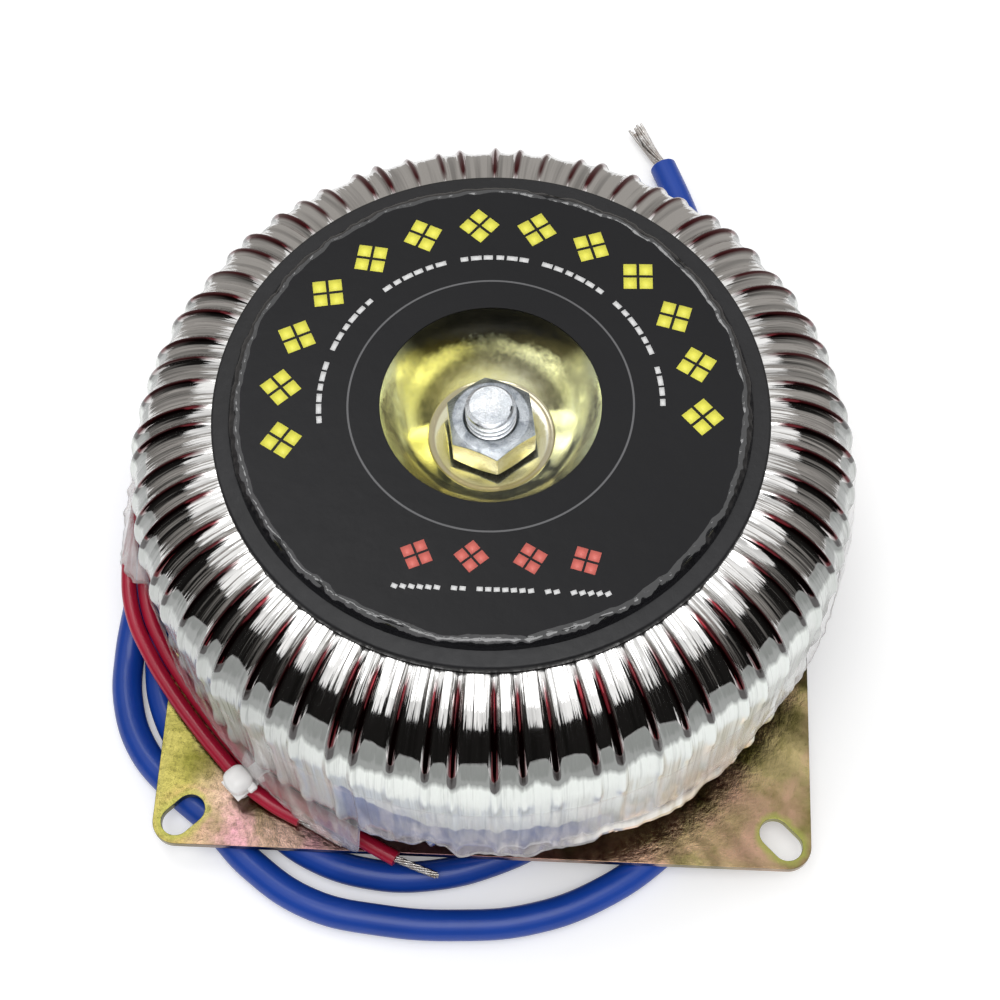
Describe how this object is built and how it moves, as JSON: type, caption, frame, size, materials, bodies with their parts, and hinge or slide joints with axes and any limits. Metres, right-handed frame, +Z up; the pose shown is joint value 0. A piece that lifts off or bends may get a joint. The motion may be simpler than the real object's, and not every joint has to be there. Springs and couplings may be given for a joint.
{
  "type": "toroidal transformer",
  "caption": "Toroidal mains transformer wrapped in clear film, clamped to a square slotted base plate by a dished plate and a centre bolt, with two thick blue leads and two thin red ones.",
  "frame": {"origin": "on the surface the part stands on, under the centre bolt", "axes": "+Z up along the centre bolt; the base plate's sides run along X and Y; the front, with the red leads' ends, faces -Y"},
  "size_m": [0.1254, 0.167, 0.0627],
  "materials": {
    "core_steel": "wound silicon steel strip, dull",
    "insulating_tape": "thin tape, satin",
    "fine_wire": "enamelled copper wire",
    "thick_wire": "enamelled copper wire, dark",
    "label_paper": "plain white paper",
    "clear_film": "clear polyester film, wrinkled, mirror bright over the wire",
    "loose_film": "clear polyester film, loose",
    "black_rubber": "smooth black rubber",
    "yellow_zinc": "yellow passivated zinc plate, bright",
    "bright_zinc": "zinc plate, bright",
    "label_black": "black film label, satin, with small yellow marks",
    "red_pvc": "dark red PVC",
    "blue_pvc": "blue PVC",
    "tinned_copper": "tinned copper strands",
    "white_nylon": "white nylon"
  },
  "bodies": {
    "root": {"core": "core_steel", "core_insulation": "insulating_tape", "primary_winding": "fine_wire", "interwinding_insulation": "insulating_tape", "secondary_winding": "thick_wire", "side_label": "label_paper", "film_wrap": "clear_film", "film_skirt": "loose_film", "top_pad": "black_rubber", "clamp_dish": "yellow_zinc", "top_label": "label_black", "bottom_pad": "black_rubber", "base_plate": "yellow_zinc", "centre_bolt": "bright_zinc", "top_nut": "bright_zinc", "red_lead_outer": "red_pvc", "red_lead_inner": "red_pvc", "red_tip_outer": "tinned_copper", "red_tip_inner": "tinned_copper", "blue_lead_outer": "blue_pvc", "blue_lead_inner": "blue_pvc", "blue_tip_rear": "tinned_copper", "blue_tip_inner": "tinned_copper", "cable_tie": "white_nylon"}
  },
  "joints": []
}
